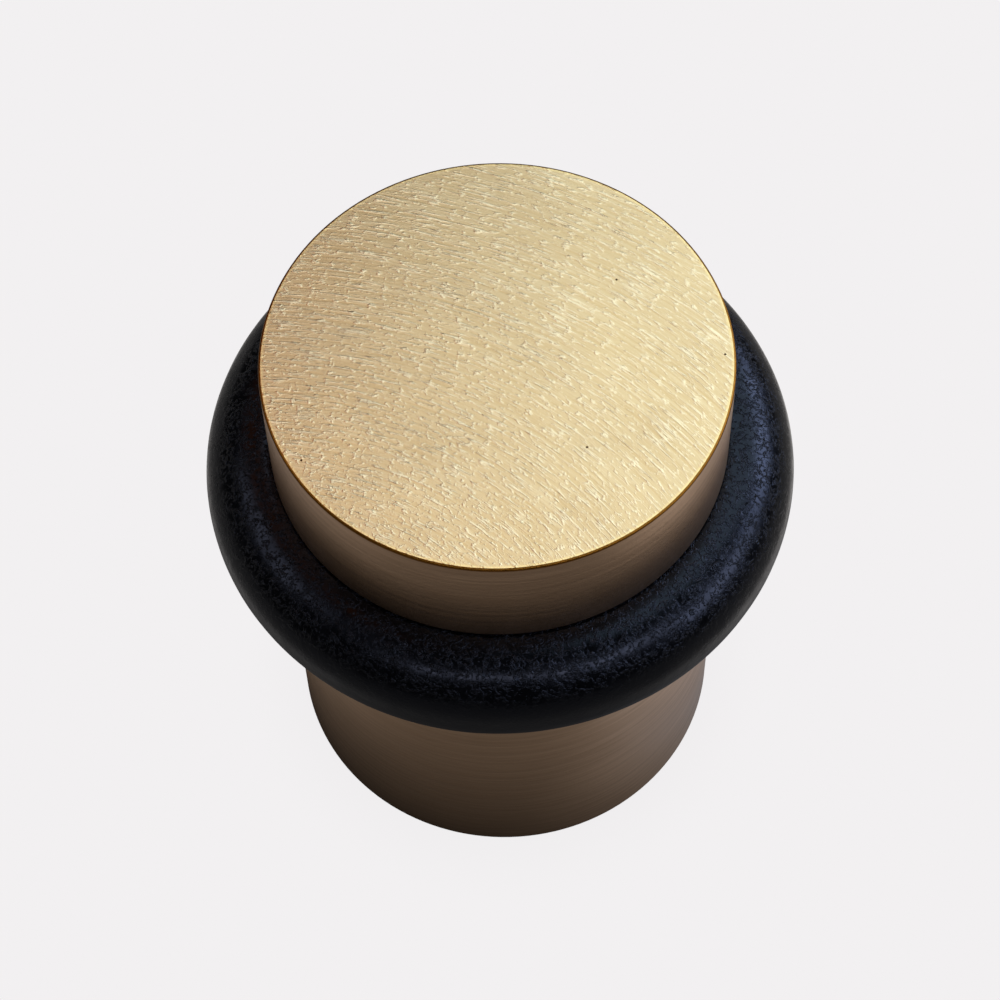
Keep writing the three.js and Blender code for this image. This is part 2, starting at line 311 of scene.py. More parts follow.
brassLook = {
    "face": "#f4dbb0",        # cartridge brass, linished dry: the crests of the strokes
    "hollow": "#d3ae7a",      # between the strokes
    "paintedEdgeHighlight": "#f4d294",  # painted highlight: a golden line along the last of the face
    "speck": "#4a3520",
    "side": "#dfba97",        # the turned side has browned a little
    "streak": "#927354",      # duller lines and patches on the side
    "rim": "#8a5a1e",         # painted shade: a dark line along the broken top edge and its round
    "faceRoughness": 0.32,
    "sideRoughness": 0.34,
    "wristCentre": (-16.0, -29.0),  # mm, the middle of the arcs that the linishing strokes follow
    "strokeWidth": 0.085,     # mm
    "strokeLength": 1.15,     # mm
    "strokeHeight": 0.0125,   # mm
    "strokeRange": (0.52, 0.72),  # the noise levels between which a stroke rises
    "crumbSize": 0.115,       # mm
    "crumbStretch": 0.42,     # width over length
    "crumbRange": (0.5, 0.75),
    "crumbShare": 0.85,       # of a stroke's height
    "scratchWidth": 0.09,     # mm
    "scratchLength": 5.0,     # mm
    "scratchShare": 0.7,      # of a stroke's height
    "paintedHighlightBand": (0.35, 0.2),  # mm inside the post's radius, where the painted highlight line starts and is full
    "paintedRimShadeBand": (0.24, 0.17),  # mm under the top, likewise for the painted dark rim shade
    "speckRadius": 0.075,     # mm
    "speckSpacing": 9.0,      # mm
    "specklessShare": 0.55,   # of the places where a speck could be
    "turningLine": 0.2,       # mm, feed of the turning tool
    "turningHeight": 0.02,    # mm
}


def linishedBrass(edgeRadius):
    # brass face linished by hand: short raised strokes and crumbs in arcs, a soft broad gloss
    look = brassLook
    material, tree, inMm = newMaterial("linishedBrass")
    cx, cy = look["wristCentre"]
    fromWrist = addNode(tree, "ShaderNodeVectorMath", {0: inMm, 1: (cx, cy, 0)}, operation="SUBTRACT")
    split = addNode(tree, "ShaderNodeSeparateXYZ", {0: fromWrist})
    flat = addNode(tree, "ShaderNodeCombineXYZ", {0: split.outputs[0], 1: split.outputs[1]})
    reach = addNode(tree, "ShaderNodeVectorMath", {0: flat}, operation="LENGTH").outputs["Value"]
    swing = addNode(tree, "ShaderNodeMath", {0: split.outputs[1], 1: split.outputs[0]}, operation="ARCTAN2")
    along = addNode(tree, "ShaderNodeMath", {0: swing, 1: math.hypot(cx, cy)}, operation="MULTIPLY")
    arcs = addNode(tree, "ShaderNodeCombineXYZ", {0: reach, 1: along})

    # strokes stand out only where the noise peaks, so that each is a separate short ridge
    patches = addNode(tree, "ShaderNodeTexNoise", {"Vector": inMm, "Scale": 0.22, "Detail": 2.0})
    strokeSpace = addNode(tree, "ShaderNodeVectorMath",
                          {0: arcs, 1: (0.5 / look["strokeWidth"], 0.5 / look["strokeLength"], 1)},
                          operation="MULTIPLY")
    strokeNoise = addNode(tree, "ShaderNodeTexNoise",
                          {"Vector": strokeSpace, "Scale": 1.0, "Detail": 2.0, "Roughness": 0.5,
                           "Distortion": 0.2})
    strokes = addNode(tree, "ShaderNodeMapRange",
                      {"Value": strokeNoise, "From Min": look["strokeRange"][0],
                       "From Max": look["strokeRange"][1]}, interpolation_type="SMOOTHSTEP")
    crumbSpace = addNode(tree, "ShaderNodeVectorMath", {0: arcs, 1: (1, look["crumbStretch"], 1)},
                         operation="MULTIPLY")
    crumbNoise = addNode(tree, "ShaderNodeTexNoise",
                         {"Vector": crumbSpace, "Scale": 0.5 / look["crumbSize"], "Detail": 2.0,
                          "Roughness": 0.6, "Distortion": 0.15})
    crumbs = addNode(tree, "ShaderNodeMapRange",
                     {"Value": crumbNoise, "From Min": look["crumbRange"][0],
                      "From Max": look["crumbRange"][1]}, interpolation_type="SMOOTHSTEP")
    scratchSpace = addNode(tree, "ShaderNodeVectorMath",
                           {0: arcs, 1: (0.5 / look["scratchWidth"], 0.5 / look["scratchLength"], 1)},
                           operation="MULTIPLY")
    scratches = addNode(tree, "ShaderNodeTexNoise",
                        {"Vector": scratchSpace, "Scale": 1.0, "Detail": 1.0, "Distortion": 0.1})
    much = addNode(tree, "ShaderNodeMapRange",
                   {"Value": patches, "From Min": 0.35, "From Max": 0.65, "To Min": 0.6, "To Max": 1.0})
    strokeHeight = addNode(tree, "ShaderNodeMath", {0: strokes, 1: much}, operation="MULTIPLY")
    withCrumbs = addNode(tree, "ShaderNodeMath", {0: crumbs, 1: look["crumbShare"], 2: strokeHeight},
                         operation="MULTIPLY_ADD")
    relief = addNode(tree, "ShaderNodeMath", {0: scratches, 1: look["scratchShare"], 2: withCrumbs},
                     operation="MULTIPLY_ADD")
    bump = addNode(tree, "ShaderNodeBump",
                   {"Height": relief, "Strength": 1.0, "Distance": look["strokeHeight"] * mm})

    # crests rub a little brighter than hollows, a painted highlight line runs just inside the edge, and there
    # are a few dark specks
    crest = addNode(tree, "ShaderNodeMapRange",
                    {"Value": relief, "From Min": 0.1, "From Max": 1.0})
    colour = addNode(tree, "ShaderNodeMix", {0: crest, 6: linear(look["hollow"]), 7: linear(look["face"])},
                     data_type="RGBA")
    fromAxis = addNode(tree, "ShaderNodeVectorMath", {0: inMm, 1: (1, 1, 0)}, operation="MULTIPLY")
    radius = addNode(tree, "ShaderNodeVectorMath", {0: fromAxis}, operation="LENGTH").outputs["Value"]
    # painted highlight: the last of the face turns to the golden edge colour
    paintedHighlightMask = addNode(tree, "ShaderNodeMapRange",
                     {"Value": radius, "From Min": edgeRadius - look["paintedHighlightBand"][0],
                      "From Max": edgeRadius - look["paintedHighlightBand"][1]})
    bright = addNode(tree, "ShaderNodeMix", {0: paintedHighlightMask, 6: colour.outputs[2], 7: linear(look["paintedEdgeHighlight"])},
                     data_type="RGBA")
    specks = addNode(tree, "ShaderNodeTexVoronoi", {"Vector": inMm, "Scale": 1 / look["speckSpacing"]},
                     voronoi_dimensions="2D")
    atSpeck = addNode(tree, "ShaderNodeMath",
                      {0: specks.outputs["Distance"], 1: look["speckRadius"] / look["speckSpacing"]},
                      operation="LESS_THAN")
    pick = addNode(tree, "ShaderNodeSeparateColor", {0: specks.outputs["Color"]})
    few = addNode(tree, "ShaderNodeMath", {0: pick, 1: look["specklessShare"]}, operation="GREATER_THAN")
    speck = addNode(tree, "ShaderNodeMath", {0: atSpeck, 1: few}, operation="MULTIPLY")
    marked = addNode(tree, "ShaderNodeMix", {0: speck, 6: bright.outputs[2], 7: linear(look["speck"])},
                     data_type="RGBA")
    rough = addNode(tree, "ShaderNodeMapRange",
                    {"Value": patches, "From Min": 0.3, "From Max": 0.7,
                     "To Min": look["faceRoughness"] - 0.02, "To Max": look["faceRoughness"] + 0.02})
    addSurface(tree, {"Base Color": marked.outputs[2], "Metallic": 1.0, "Roughness": rough, "Normal": bump})
    return material


def turnedBrass(rimHeight):
    # the same brass as turned: fine rings round the post, satin, with painted dark shade along the broken
    # edge at the top
    look = brassLook
    material, tree, inMm = newMaterial("turnedBrass")
    split = addNode(tree, "ShaderNodeSeparateXYZ", {0: inMm})
    ringSpace = addNode(tree, "ShaderNodeVectorMath", {0: inMm, 1: (0.1, 0.1, 0.5 / look["turningLine"])},
                        operation="MULTIPLY")
    lines = addNode(tree, "ShaderNodeTexNoise",
                    {"Vector": ringSpace, "Scale": 1.0, "Detail": 3.0, "Roughness": 0.65})
    grain = addNode(tree, "ShaderNodeTexNoise", {"Vector": inMm, "Scale": 4.0, "Detail": 2.0})
    cloud = addNode(tree, "ShaderNodeTexNoise", {"Vector": inMm, "Scale": 0.16, "Detail": 3.0})
    relief = addNode(tree, "ShaderNodeMath", {0: grain, 1: 0.6, 2: lines}, operation="MULTIPLY_ADD")
    bump = addNode(tree, "ShaderNodeBump",
                   {"Height": relief, "Strength": 0.8, "Distance": look["turningHeight"] * mm})
    streak = addNode(tree, "ShaderNodeMapRange",
                     {"Value": lines, "From Min": 0.38, "From Max": 0.62, "To Min": 0.0, "To Max": 0.24})
    tone = addNode(tree, "ShaderNodeMath", {0: cloud, 1: 0.3, 2: streak}, operation="MULTIPLY_ADD")
    colour = addNode(tree, "ShaderNodeMix", {0: tone, 6: linear(look["side"]), 7: linear(look["streak"])},
                     data_type="RGBA")
    # painted shade: the top of the side and the edge's round turn to the dark rim colour
    paintedRimShadeMask = addNode(tree, "ShaderNodeMapRange",
                    {"Value": split.outputs[2], "From Min": rimHeight - look["paintedRimShadeBand"][0],
                     "From Max": rimHeight - look["paintedRimShadeBand"][1]})
    withPaintedRimShade = addNode(tree, "ShaderNodeMix", {0: paintedRimShadeMask, 6: colour.outputs[2], 7: linear(look["rim"])},
                    data_type="RGBA")
    rough = addNode(tree, "ShaderNodeMapRange",
                    {"Value": lines, "From Min": 0.3, "From Max": 0.7,
                     "To Min": look["sideRoughness"] - 0.04, "To Max": look["sideRoughness"] + 0.06})
    addSurface(tree, {"Base Color": withPaintedRimShade.outputs[2], "Metallic": 1.0, "Roughness": rough, "Normal": bump})
    return material


rubberLook = {
    "colour": "#030304",     # carbon-black filled rubber
    "bloom": "#0b0c0f",      # pale haze where the surface is scuffed
    "sheen": "#c3cce4",      # painted light: a blue tint on its gloss, standing in for the cool window light
    "ior": 1.4,
    "roughness": 0.23,
    "underRoughness": 0.6,   # the underside keeps the mould's dull finish
    "dullBelow": 28.6,       # mm
    "glossAbove": 30.6,      # mm
    "wrinkle": 0.34,         # mm between moulding wrinkles
    "wrinkleHeight": 0.035,  # mm
    "wrinkleRange": (0.48, 0.66),  # the noise levels between which a wrinkle rises
    "dentShare": 1.3,        # height of the broad dents over a wrinkle's
    "scuffShare": 0.7,       # how much bloom a wrinkle's crest shows
    "crestHeight": 32.6,     # mm, where the wrinkles gather
    "crestSpan": 2.2,        # mm below that height until they fade
    "plainShare": 0.12,      # what is left of them elsewhere
}


def blackRubber():
    # moulded rubber: almost black, a dull sheen with a painted blue tint, small wrinkles and scuffs along the
    # crest
    look = rubberLook
    material, tree, inMm = newMaterial("blackRubber")
    split = addNode(tree, "ShaderNodeSeparateXYZ", {0: inMm})
    skinNoise = addNode(tree, "ShaderNodeTexNoise",
                        {"Vector": inMm, "Scale": 0.8 / look["wrinkle"], "Detail": 3.0, "Roughness": 0.6,
                         "Distortion": 1.2})
    skin = addNode(tree, "ShaderNodeMapRange",
                   {"Value": skinNoise, "From Min": look["wrinkleRange"][0],
                    "From Max": look["wrinkleRange"][1]}, interpolation_type="SMOOTHSTEP")
    dents = addNode(tree, "ShaderNodeTexNoise",
                    {"Vector": inMm, "Scale": 0.6, "Detail": 4.0, "Roughness": 0.55, "Distortion": 0.4})
    nearCrest = addNode(tree, "ShaderNodeMapRange",
                        {"Value": split.outputs[2], "From Min": look["crestHeight"] - look["crestSpan"],
                         "From Max": look["crestHeight"], "To Min": look["plainShare"]},
                        interpolation_type="SMOOTHSTEP")
    wrinkles = addNode(tree, "ShaderNodeMath", {0: skin, 1: nearCrest}, operation="MULTIPLY")
    relief = addNode(tree, "ShaderNodeMath", {0: dents, 1: look["dentShare"], 2: wrinkles},
                     operation="MULTIPLY_ADD")
    bump = addNode(tree, "ShaderNodeBump",
                   {"Height": relief, "Strength": 1.0, "Distance": look["wrinkleHeight"] * mm})
    scuff = addNode(tree, "ShaderNodeMath", {0: wrinkles, 1: look["scuffShare"]}, operation="MULTIPLY")
    colour = addNode(tree, "ShaderNodeMix", {0: scuff, 6: linear(look["colour"]), 7: linear(look["bloom"])},
                     data_type="RGBA")
    topRough = addNode(tree, "ShaderNodeMapRange",
                       {"Value": dents, "From Min": 0.3, "From Max": 0.7,
                        "To Min": look["roughness"] - 0.07, "To Max": look["roughness"] + 0.09})
    rough = addNode(tree, "ShaderNodeMapRange",
                    {"Value": split.outputs[2], "From Min": look["dullBelow"], "From Max": look["glossAbove"],
                     "To Min": look["underRoughness"], "To Max": topRough}, interpolation_type="SMOOTHSTEP")
    # painted light: the blue specular tint stands in for the cool window light
    addSurface(tree, {"Base Color": colour.outputs[2], "Specular Tint": linear(look["sheen"]),
                      "IOR": look["ior"], "Roughness": rough, "Normal": bump})
    return material


blackSteelLook = {"colour": "#3b3c3f", "darker": "#2a2b2d", "roughness": 0.48}
zincSteelLook = {"colour": "#c9ccd0", "darker": "#aeb1b6", "roughness": 0.33}
nylonLook = {"colour": "#9da0a2", "darker": "#85888b", "roughness": 0.55}


def platedSteel(name, look):
    # a plated or blackened steel fastener: even tone, a little mottled
    material, tree, inMm = newMaterial(name)
    mottle = addNode(tree, "ShaderNodeTexNoise", {"Vector": inMm, "Scale": 1.6, "Detail": 4.0})
    fine = addNode(tree, "ShaderNodeTexNoise", {"Vector": inMm, "Scale": 9.0, "Detail": 2.0})
    bump = addNode(tree, "ShaderNodeBump", {"Height": fine, "Strength": 0.25, "Distance": 0.02 * mm})
    colour = addNode(tree, "ShaderNodeMix", {0: mottle, 6: linear(look["colour"]), 7: linear(look["darker"])},
                     data_type="RGBA")
    rough = addNode(tree, "ShaderNodeMapRange",
                    {"Value": mottle, "From Min": 0.3, "From Max": 0.7,
                     "To Min": look["roughness"] - 0.05, "To Max": look["roughness"] + 0.07})
    addSurface(tree, {"Base Color": colour.outputs[2], "Metallic": 1.0, "Roughness": rough, "Normal": bump})
    return material


def mouldedNylon():
    # grey nylon, spark-eroded mould finish
    look = nylonLook
    material, tree, inMm = newMaterial("mouldedNylon")
    cloud = addNode(tree, "ShaderNodeTexNoise", {"Vector": inMm, "Scale": 0.5, "Detail": 3.0})
    spark = addNode(tree, "ShaderNodeTexNoise", {"Vector": inMm, "Scale": 7.0, "Detail": 2.0})
    bump = addNode(tree, "ShaderNodeBump", {"Height": spark, "Strength": 0.3, "Distance": 0.03 * mm})
    colour = addNode(tree, "ShaderNodeMix", {0: cloud, 6: linear(look["colour"]), 7: linear(look["darker"])},
                     data_type="RGBA")
    addSurface(tree, {"Base Color": colour.outputs[2], "Roughness": look["roughness"], "Normal": bump})
    return material


def boxMm(node):
    # the main sizes of the pieces come from the frame, in mm
    low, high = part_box(node)
    return low / mm, high / mm


capLow, capHigh = boxMm("cap")
faceBrass, sideBrass, rubber = linishedBrass(capHigh.x), turnedBrass(capHigh.z), blackRubber()
blackSteel = platedSteel("blackOxideSteel", blackSteelLook)
zincSteel = platedSteel("zincPlatedSteel", zincSteelLook)
nylon = mouldedNylon()
print("materials built")

ringLow, ringHigh = boxMm("buffer_ring")
studLow, studHigh = boxMm("joining_stud")
screwLow, screwHigh = boxMm("floor_screw")
plugLow, plugHigh = boxMm("wall_plug")
postRadius, postTop, seamHeight = capHigh.x, capHigh.z, capLow.z
ringSection = (ringHigh.z - ringLow.z) / 2
ringMiddle = (ringHigh.x - ringSection, (ringHigh.z + ringLow.z) / 2)

threadSizes = {"pitch": 1.75, "depth": 0.95, "rootShare": 0.25, "crestShare": 0.125, "clearance": 0.15,
               "mouthBreak": 0.35, "pastMouth": 0.1, "seamGap": 0.01, "endGap": 0.05, "row": 0.1}
grooveSizes = {"clearance": 0.1, "lipBreak": 0.12, "capSteps": 22, "baseSteps": 10}
grooveRadius = ringSection + grooveSizes["clearance"]
lipAngle = math.degrees(math.acos((postRadius - ringMiddle[0]) / grooveRadius))
seamAngle = 180 + math.degrees(math.asin((ringMiddle[1] - seamHeight) / grooveRadius))
tapRadius = studHigh.x - threadSizes["depth"] + threadSizes["clearance"]
mouthRadius = tapRadius + threadSizes["depth"] + threadSizes["mouthBreak"]
mouthDepth = mouthRadius - tapRadius


def addThread(blank, size, root, fromHeight, toHeight, material, tapped=False):
    # cuts a thread between two heights in mm. A tapped one is in a bore, and leaves what lies outside it.
    addTree(blank, cutThread, {
        "Root Radius": root * mm, "Depth": size["depth"] * mm, "Pitch": size["pitch"] * mm,
        "Root Share": size["rootShare"], "Crest Share": size["crestShare"],
        "From Height": fromHeight * mm, "To Height": toHeight * mm, "Internal": tapped,
        "Reach": (mouthRadius + size["pastMouth"]) * mm if tapped else 1.0, "Material": material})


capSizes = {"edgeRound": 0.15, "edgeSteps": 6, "flatFrom": 0.05, "crown": 2.4, "drillPoint": 118,
            "steps": 144}


def makeCap():
    size = capSizes
    edge = size["edgeRound"]
    apex = postTop - size["crown"]
    holeTop = apex - tapRadius / math.tan(math.radians(size["drillPoint"] / 2))
    groove = arc(ringMiddle, grooveRadius, seamAngle, lipAngle, grooveSizes["capSteps"])
    lip = groove.pop()[1]
    outline = [(0, apex), *straight(tapRadius, holeTop, seamHeight + mouthDepth, threadSizes["row"]),
               (mouthRadius, seamHeight), *groove,
               (postRadius - grooveSizes["lipBreak"], lip), (postRadius, lip + grooveSizes["lipBreak"]),
               (postRadius, postTop - edge - size["flatFrom"]),
               *arc((postRadius - edge, postTop - edge), edge, 0, 90, size["edgeSteps"]),
               (postRadius - edge - size["flatFrom"], postTop), (0, postTop)]
    face = len(outline) - 3
    cap = turnMesh("capBlank", outline, size["steps"], paint=lambda row: 1 if row >= face else 0)
    cap.data.materials.append(sideBrass)
    cap.data.materials.append(faceBrass)
    addThread(cap, threadSizes, tapRadius, seamHeight + threadSizes["seamGap"],
              holeTop - threadSizes["endGap"], sideBrass, tapped=True)
    settle(plainMesh(cap, "brassCap"), "head", "satin_brass", "cap")


baseSizes = {"edgeRound": 0.15, "edgeSteps": 6, "flatFrom": 0.05, "seatHeight": 5.0, "holeRadius": 2.8,
             "rim": 4.0, "recess": 0.4, "tapOverrun": 1.3, "steps": 144}


def makeBase():
    size = baseSizes
    edge = size["edgeRound"]
    groove = arc(ringMiddle, grooveRadius, 360 - lipAngle, seamAngle, grooveSizes["baseSteps"])
    lip = groove.pop(0)[1]
    seatTop = size["seatHeight"] + tapRadius - size["holeRadius"]
    tapEnd = studLow.z - size["tapOverrun"]
    inside = postRadius - size["rim"]
    outline = [(postRadius - edge - size["flatFrom"], 0),
               *arc((postRadius - edge, edge), edge, -90, 0, size["edgeSteps"]),
               (postRadius, edge + size["flatFrom"]), (postRadius, lip - grooveSizes["lipBreak"]),
               (postRadius - grooveSizes["lipBreak"], lip),
               *groove, (mouthRadius, seamHeight),
               *straight(tapRadius, seamHeight - mouthDepth, tapEnd, threadSizes["row"]),
               (tapRadius, seatTop), (size["holeRadius"], size["seatHeight"]),
               (size["holeRadius"], size["recess"]), (inside, size["recess"]), (inside, 0)]
    base = turnMesh("baseBlank", outline, size["steps"], closed=True)
    base.data.materials.append(sideBrass)
    addThread(base, threadSizes, tapRadius, tapEnd + threadSizes["endGap"],
              seamHeight - threadSizes["seamGap"], sideBrass, tapped=True)
    settle(plainMesh(base, "brassBase"), "post_base", "satin_brass", "base")


ringSizes = {"unevenness": 0.06, "waveLength": 7.0, "stepsAlong": 288, "stepsRound": 72, "seed": 3.0}


def makeRing():
    size = ringSizes
    blank = bpy.data.objects.new("ringBlank", bpy.data.meshes.new("ringBlank"))
    bpy.context.scene.collection.objects.link(blank)
    addTree(blank, mouldRing, {
        "Centre Radius": ringMiddle[0] * mm, "Section Radius": ringSection * mm, "Height": ringMiddle[1] * mm,
        "Steps Along": size["stepsAlong"], "Steps Round": size["stepsRound"],
        "Unevenness": size["unevenness"] * mm, "Wave Length": size["waveLength"] * mm,
        "Seed": size["seed"], "Material": rubber})
    settle(plainMesh(blank, "rubberRing", sharpOver=60), "ring", "black_rubber", "buffer_ring")


studSizes = {"chamfer": 0.8, "chamferRows": 8, "socketAcross": 6.0, "socketDepth": 5.0, "steps": 144}


def makeStud():
    size = studSizes
    crest, chamfer = studHigh.x, size["chamfer"]
    root = crest - threadSizes["depth"]

    def hexagon(angle):
        return size["socketAcross"] / 2 / math.cos((angle % (math.pi / 3)) - math.pi / 6)

    rows = size["chamferRows"]
    down = [(crest - chamfer + chamfer * i / rows, studLow.z + chamfer * i / rows) for i in range(rows)]
    up = [(crest - chamfer * i / rows, studHigh.z - chamfer + chamfer * i / rows)
          for i in range(1, rows + 1)]
    outline = [(0, studLow.z + size["socketDepth"]), (hexagon, studLow.z + size["socketDepth"]),
               (hexagon, studLow.z), *down,
               *straight(crest, studLow.z + chamfer, studHigh.z - chamfer, threadSizes["row"]),
               *up, (0, studHigh.z)]
    stud = turnMesh("studBlank", outline, size["steps"])
    stud.data.materials.append(blackSteel)
    addThread(stud, threadSizes, root, studLow.z - 1, studHigh.z + 1, blackSteel)
    settle(plainMesh(stud, "joiningStud"), "head", "black_oxide_steel", "joining_stud")


screwSizes = {"radius": 2.5, "depth": 0.75, "pitch": 2.5, "rootShare": 0.55, "crestShare": 0.08,
              "threadLength": 34.0, "endGap": 0.1, "point": 6.0, "rim": 0.35, "crossReach": 2.3,
              "crossWidth": 1.1, "crossDepth": 2.2, "crossFloor": 0.8, "row": 0.14, "steps": 96}


def makeScrew():
    size = screwSizes
    tip, top, head = screwLow.z, screwHigh.z, screwHigh.x
    threadTop = tip + size["threadLength"]
    coneTop = top - size["rim"]
    coneFoot = coneTop - (head - size["radius"])

    def cross(angle):
        c, s = max(abs(math.cos(angle)), 1e-9), max(abs(math.sin(angle)), 1e-9)
        arm, half = size["crossReach"], size["crossWidth"] / 2
        return max(min(arm / c, half / s), min(arm / s, half / c))

    pointRows = round(size["point"] / size["row"])
    point = [(size["radius"] * i / pointRows, tip + size["point"] * i / pointRows) for i in range(pointRows)]
    outline = [*point, *straight(size["radius"], tip + size["point"], threadTop, size["row"]),
               (size["radius"], coneFoot), (head, coneTop), (head, top), (cross, top),
               (lambda angle: size["crossFloor"] * cross(angle), top - size["crossDepth"]),
               (0, top - size["crossDepth"])]
    screw = turnMesh("screwBlank", outline, size["steps"])
    screw.data.materials.append(zincSteel)
    addThread(screw, size, size["radius"] - size["depth"], tip - 1, threadTop - size["endGap"], zincSteel)
    settle(plainMesh(screw, "floorScrew"), "post_base", "zinc_plated_steel", "floor_screw")


plugSizes = {"bore": 2.8, "nose": 5.0, "noseRadius": 3.4, "collar": 6.0, "edgeBreak": 0.2, "barbs": 9,
             "barbDepth": 0.4, "barbSlope": 0.85, "slit": 0.8, "slitStart": 12.0, "finThickness": 0.9,
             "finLength": 12.0, "finFoot": 0.5, "finDrop": 0.01, "row": 0.12, "steps": 72}


def addBlock(low, high):
    # a plain cutting or joining block between two corners in mm
    made = bmesh.new()
    bmesh.ops.create_cube(made, size=1)
    centre, size = (Vector(low) + Vector(high)) / 2, Vector(high) - Vector(low)
    made.transform(Matrix.Translation(centre * mm) @ Matrix.Diagonal((*(size * mm), 1)))
    mesh = bpy.data.meshes.new("block")
    made.to_mesh(mesh)
    made.free()
    block = bpy.data.objects.new("block", mesh)
    bpy.context.scene.collection.objects.link(block)
    return block


def makePlug():
    size = plugSizes
    low, top, radius = plugLow.z, plugHigh.z, plugHigh.x
    fin = plugHigh.y
    barbFoot, barbTop = low + size["nose"], top - size["collar"]
    bore, edge = size["bore"], size["edgeBreak"]
    outline = [(size["noseRadius"], low), *straight(radius, barbFoot, barbTop, size["row"]),
               (radius, top - edge), (radius - edge, top), (bore + edge, top), (bore, top - edge),
               (bore, low)]
    plug = turnMesh("plugBlank", outline, size["steps"], closed=True)
    plug.data.materials.append(nylon)
    addTree(plug, cutBarbs, {
        "Outer Radius": radius * mm, "Barb Depth": size["barbDepth"] * mm, "From Height": barbFoot * mm,
        "To Height": barbTop * mm, "Count": size["barbs"], "Slope Share": size["barbSlope"],
        "Material": nylon})
    half, foot = size["finThickness"] / 2, bore + size["finFoot"]
    helpers = [addBlock((-half, side[0], top - size["finLength"]), (half, side[1], top - size["finDrop"]))
               for side in ((-fin, -foot), (foot, fin))]
    helpers.append(addBlock((-2 * radius, -size["slit"] / 2, low - 1),
                            (2 * radius, size["slit"] / 2, top - size["slitStart"])))
    for index, block in enumerate(helpers):
        block.data.materials.append(nylon)
        cut = plug.modifiers.new("shape%d" % index, "BOOLEAN")
        cut.operation, cut.object, cut.solver = "UNION" if index < 2 else "DIFFERENCE", block, "EXACT"
    piece = plainMesh(plug, "nylonPlug", sharpOver=24)
    for block in helpers:
        bpy.data.objects.remove(block)
    settle(piece, "post_base", "grey_nylon", "wall_plug")


for makePiece in (makeCap, makeBase, makeRing, makeStud, makeScrew, makePlug):
    makePiece()


# a pale floor and backdrop, which gloss on the post doesn't see, with a soft contact shadow
stageLook = {
    "pale": "#f2f0f1",
    "reach": 3.0,  # m
    "shadowSpan": 5.0,  # mm
    "shadowDepth": 0.05,  # how much the shadow takes off the brightness
}


def stagePiece(name, material, build, z=0.0):
    made = bmesh.new()
    build(made)
    mesh = bpy.data.meshes.new(name)
    made.to_mesh(mesh)
    made.free()
    mesh.transform(Matrix.Translation((0, 0, z)))
    mesh.materials.append(material)
    piece = bpy.data.objects.new(name, mesh)
    bpy.context.scene.collection.objects.link(piece)
    piece.visible_diffuse = piece.visible_shadow = False
    piece.visible_transmission = piece.visible_volume_scatter = False
    return piece


def paleMaterial(name, shadow):
    material, tree, _ = newMaterial(name)
    level = 1.0
    if shadow:
        near = addNode(tree, "ShaderNodeAmbientOcclusion", {"Distance": stageLook["shadowSpan"] * mm})
        level = addNode(tree, "ShaderNodeMapRange",
                        {"Value": near.outputs["AO"], "To Min": 1 - stageLook["shadowDepth"]})
    glow = addNode(tree, "ShaderNodeEmission", {"Color": linear(stageLook["pale"]), "Strength": level})
    addNode(tree, "ShaderNodeOutputMaterial", {"Surface": glow})
    return material


def addStage():
    reach = stageLook["reach"]
    floor = stagePiece("floor", paleMaterial("floorPaint", True),
                       lambda made: bmesh.ops.create_circle(made, cap_ends=True, segments=64, radius=reach))
    backdrop = stagePiece("backdrop", paleMaterial("backdropPaint", False),
                          lambda made: bmesh.ops.create_uvsphere(made, u_segments=48, v_segments=24,
                                                                 radius=reach))
    floor.visible_glossy = backdrop.visible_glossy = False


addStage()

# a table under the post that is no lamp but glows, seen only in gloss: painted light and shade
tableLook = {
    "reach": 0.5,  # m
    "drop": 0.05,  # mm under the floor
    "front": 0.17, "left": 0.6, "right": 1.25,  # painted light: brightness of the table away from the post
    "sidesFrom": 21.0, "sidesTo": 28.0,  # mm from the axis, where its sides take over from the front
    "fadeFrom": 31.0, "fadeTo": 52.0, "fadeShare": 0.1,  # and where they fade, to this share
    "nearShare": 0.3, "nearFrom": 14.0, "nearTo": 26.0,  # painted shade: it darkens to this share at the post, mm
    "window": 0.3, "leftLoss": 0.042, "windowFrom": -15.0, "windowTo": 15.0,  # painted light: a window's light close by
    "closeFrom": 20.0, "closeTo": 29.0,  # mm from the axis, where the painted window light fades
    "steepness": 5.0,  # how suddenly it grows towards the window
    # the painted glow's colour, cooler under the painted window light
    "warm": "#fffaf6", "cool": "#d5def0",
}


